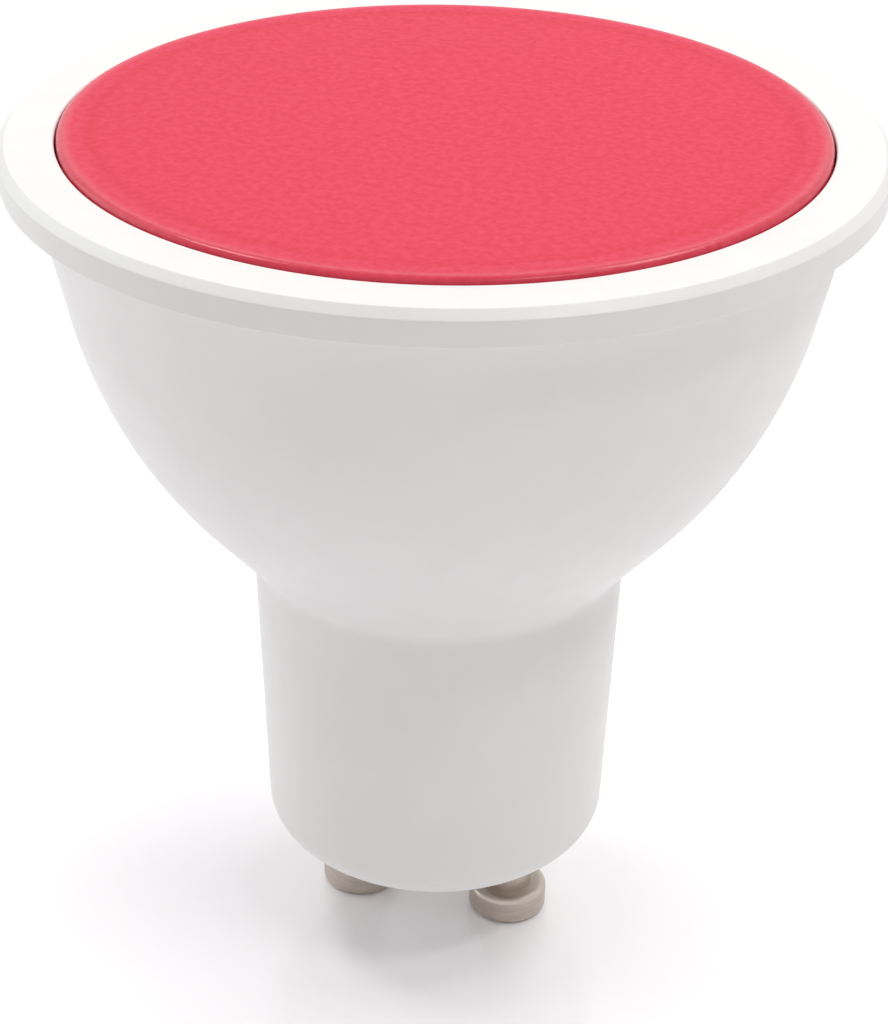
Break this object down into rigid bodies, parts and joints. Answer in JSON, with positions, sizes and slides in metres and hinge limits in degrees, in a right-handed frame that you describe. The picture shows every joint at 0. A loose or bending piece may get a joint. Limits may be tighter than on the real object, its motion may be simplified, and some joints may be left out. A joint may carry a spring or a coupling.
{
  "type": "led spotlight bulb",
  "caption": "Reflector-shaped LED spotlight bulb with a white flared body, a projecting front rim, a red satin lens and headed contact pins for a twist-lock lampholder.",
  "frame": {"origin": "midway between the contact pins, on the plane that their heads stand on", "axes": "+Z along the axis of the lamp towards the lens, X along the line through the contact pins"},
  "size_m": [0.05, 0.05, 0.0534],
  "materials": {
    "housing_white": "satin, moulded",
    "lens_red": "satin, diffusing",
    "pin_nickel": "nickel plated",
    "cup_aluminium": "pressed, bare",
    "board_white": "solder mask",
    "led_package": "moulded",
    "screw_steel": "zinc plated",
    "board_green": "solder mask",
    "can_sleeve": "shrunk sleeve",
    "ferrite": "sintered",
    "copper_wire": "enamelled",
    "fuse_coating": "lacquered",
    "film_coating": "epoxy dipped",
    "package_black": "moulded",
    "wire_brown": "insulated",
    "wire_blue": "insulated",
    "wire_red": "insulated",
    "wire_black": "insulated"
  },
  "bodies": {
    "root": {"housing": "housing_white", "front_lens": "lens_red", "contact_pin_left": "pin_nickel", "contact_pin_right": "pin_nickel", "heat_sink_cup": "cup_aluminium", "led_board": "board_white", "led_1": "led_package", "led_2": "led_package", "led_3": "led_package", "led_4": "led_package", "led_5": "led_package", "led_6": "led_package", "led_7": "led_package", "led_8": "led_package", "board_screws": "screw_steel", "driver_board": "board_green", "smoothing_capacitor": "can_sleeve", "inductor_core": "ferrite", "inductor_winding": "copper_wire", "fuse_resistor": "fuse_coating", "input_capacitor": "film_coating", "bridge_rectifier": "package_black", "driver_chip": "package_black", "output_diode": "package_black", "sense_resistor_left": "package_black", "sense_resistor_right": "package_black", "live_wire": "wire_brown", "neutral_wire": "wire_blue", "led_wire_plus": "wire_red", "led_wire_minus": "wire_black"}
  },
  "joints": []
}
